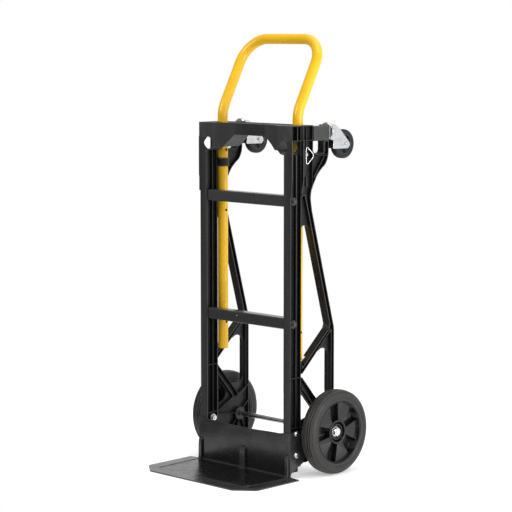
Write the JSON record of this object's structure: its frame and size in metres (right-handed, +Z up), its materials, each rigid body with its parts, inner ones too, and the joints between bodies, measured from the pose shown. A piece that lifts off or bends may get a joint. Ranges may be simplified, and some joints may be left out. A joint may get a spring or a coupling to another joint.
{
  "type": "convertible hand truck",
  "caption": "Upright hand truck with ribbed nylon side frames, sliding loop handle, steel toe plate, solid wheels and rear casters for use as a platform truck.",
  "frame": {"origin": "floor level, in the middle of the footprint", "axes": "+Z up, +Y to the rear (the side of the struts and casters), X across the truck"},
  "size_m": [0.524, 0.5134, 1.3324],
  "materials": {
    "frame_nylon": "satin moulded, fine grain",
    "black_steel": "satin powder coat",
    "handle_yellow": "semi-gloss powder coat",
    "zinc": "bright zinc plate",
    "spring_steel": "drawn wire",
    "wheel_plastic": "satin moulded",
    "tread_rubber": "matt solid rubber"
  },
  "bodies": {
    "frame": {"side_frame_right": "frame_nylon", "handle_guide_right": "frame_nylon", "caster_bracket_right": "frame_nylon", "pin_housing_right": "frame_nylon", "crossbar_bolt_upper_right": "black_steel", "crossbar_bolt_lower_right": "black_steel", "toe_bolt_upper_right": "zinc", "toe_bolt_lower_right": "zinc", "toe_nut_upper_right": "zinc", "toe_nut_lower_right": "zinc", "axle_washer_right": "zinc", "axle_nut_right": "zinc", "caster_plate_right": "zinc", "pin_spring_right": "spring_steel", "axle_spacer_right": "wheel_plastic", "side_frame_left": "frame_nylon", "handle_guide_left": "frame_nylon", "caster_bracket_left": "frame_nylon", "pin_housing_left": "frame_nylon", "crossbar_bolt_upper_left": "black_steel", "crossbar_bolt_lower_left": "black_steel", "toe_bolt_upper_left": "zinc", "toe_bolt_lower_left": "zinc", "toe_nut_upper_left": "zinc", "toe_nut_lower_left": "zinc", "axle_washer_left": "zinc", "axle_nut_left": "zinc", "caster_plate_left": "zinc", "pin_spring_left": "spring_steel", "axle_spacer_left": "wheel_plastic", "top_crossmember": "frame_nylon", "crossbar_upper": "black_steel", "crossbar_lower": "black_steel", "toe_plate": "black_steel", "axle": "zinc"},
    "handle": {"handle_tube": "handle_yellow"},
    "pin_left": {"lock_pin_left": "zinc"},
    "ring_left": {"pull_ring_left": "zinc"},
    "wheel_left": {"wheel_tyre_left": "tread_rubber", "wheel_hub_left": "wheel_plastic", "wheel_bush_left": "zinc"},
    "caster_swivel_left": {"caster_fork_left": "zinc", "caster_axle_left": "zinc", "caster_nut_left": "zinc"},
    "caster_wheel_left": {"caster_tyre_left": "tread_rubber", "caster_hub_left": "wheel_plastic"},
    "pin_right": {"lock_pin_right": "zinc"},
    "ring_right": {"pull_ring_right": "zinc"},
    "wheel_right": {"wheel_tyre_right": "tread_rubber", "wheel_hub_right": "wheel_plastic", "wheel_bush_right": "zinc"},
    "caster_swivel_right": {"caster_fork_right": "zinc", "caster_axle_right": "zinc", "caster_nut_right": "zinc"},
    "caster_wheel_right": {"caster_tyre_right": "tread_rubber", "caster_hub_right": "wheel_plastic"}
  },
  "joints": [
    {"name": "handle_slide", "type": "slide", "parent": "frame", "child": "handle", "axis": [0, 0, 1], "range_m": [0, 0.7]},
    {"name": "lock_pin_left_pull", "type": "slide", "parent": "frame", "child": "pin_left", "axis": [-1, 0, 0], "range_m": [0, 0.004], "stiffness_N_per_m": 900, "springref_m": -0.004, "deforming": ["pin_spring_left"]},
    {"name": "pull_ring_left_swing", "type": "hinge", "parent": "pin_left", "child": "ring_left", "pos_m": [-0.1945, 0.04125, 0.975], "axis": [0, 0, 1], "range_deg": [0, 100]},
    {"name": "wheel_left_spin", "type": "hinge", "parent": "frame", "child": "wheel_left", "pos_m": [-0.237, 0.12525, 0.1295], "axis": [1, 0, 0], "continuous": true},
    {"name": "caster_left_swivel", "type": "hinge", "parent": "frame", "child": "caster_swivel_left", "pos_m": [-0.184, 0.14725, 1.041], "axis": [0, 1, 0], "continuous": true},
    {"name": "caster_left_spin", "type": "hinge", "parent": "caster_swivel_left", "child": "caster_wheel_left", "pos_m": [-0.184, 0.21225, 1], "axis": [1, 0, 0], "continuous": true},
    {"name": "lock_pin_right_pull", "type": "slide", "parent": "frame", "child": "pin_right", "axis": [1, 0, 0], "range_m": [0, 0.004], "stiffness_N_per_m": 900, "springref_m": -0.004, "deforming": ["pin_spring_right"]},
    {"name": "pull_ring_right_swing", "type": "hinge", "parent": "pin_right", "child": "ring_right", "pos_m": [0.1945, 0.04125, 0.975], "axis": [0, 0, -1], "range_deg": [0, 100]},
    {"name": "wheel_right_spin", "type": "hinge", "parent": "frame", "child": "wheel_right", "pos_m": [0.237, 0.12525, 0.1295], "axis": [1, 0, 0], "continuous": true},
    {"name": "caster_right_swivel", "type": "hinge", "parent": "frame", "child": "caster_swivel_right", "pos_m": [0.184, 0.14725, 1.041], "axis": [0, 1, 0], "continuous": true},
    {"name": "caster_right_spin", "type": "hinge", "parent": "caster_swivel_right", "child": "caster_wheel_right", "pos_m": [0.184, 0.21225, 1], "axis": [1, 0, 0], "continuous": true}
  ]
}
